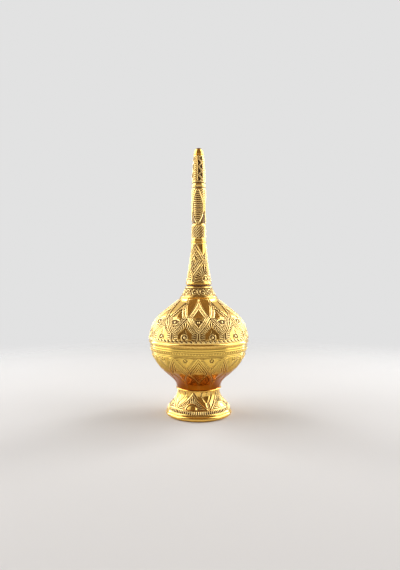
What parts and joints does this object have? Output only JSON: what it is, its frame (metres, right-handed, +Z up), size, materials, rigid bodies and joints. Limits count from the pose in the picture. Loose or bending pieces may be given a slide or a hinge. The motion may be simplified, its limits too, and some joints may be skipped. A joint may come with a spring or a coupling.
{
  "type": "rosewater sprinkler",
  "caption": "Footed round flask with a tall flared spire that screws out of the neck for filling and sprinkles rosewater through a pierced cap",
  "frame": {"origin": "centre of the foot's flat base ring, on the surface that the flask stands on", "axes": "+Z up along the axis of the spire; the ornament's front lozenge faces -Y; +X to the right seen from the front"},
  "size_m": [0.1132, 0.1132, 0.3],
  "materials": {
    "gold_plate": "polished gold plate over embossed brass",
    "plain_brass": "turned brass, unplated",
    "washer_leather": "dark oiled leather"
  },
  "bodies": {
    "flask": {"foot": "gold_plate", "base_ring": "gold_plate", "foot_ring": "gold_plate", "foot_stud": "plain_brass", "foot_washer": "plain_brass", "foot_nut": "plain_brass", "bowl": "gold_plate", "joining_band": "plain_brass", "girdle_ring": "gold_plate", "shoulder": "gold_plate", "neck_collar": "gold_plate"},
    "washer": {"neck_washer": "washer_leather"},
    "spire": {"spire_spigot": "plain_brass", "lower_spire": "gold_plate", "spire_joint": "gold_plate", "upper_spire": "gold_plate", "sprinkler_cap": "gold_plate"}
  },
  "joints": [
    {"name": "spire_rise", "type": "slide", "parent": "flask", "child": "washer", "axis": [0, 0, 1], "range_m": [0, 0.007]},
    {"name": "spire_turn", "type": "hinge", "parent": "washer", "child": "spire", "pos_m": [0, 0, 0.1453], "axis": [0, 0, 1], "range_deg": [0, 1440.5]}
  ],
  "couplings": [
    {"joint": "spire_turn", "follows": "spire_rise", "rad_per_m": 3590.4}
  ]
}
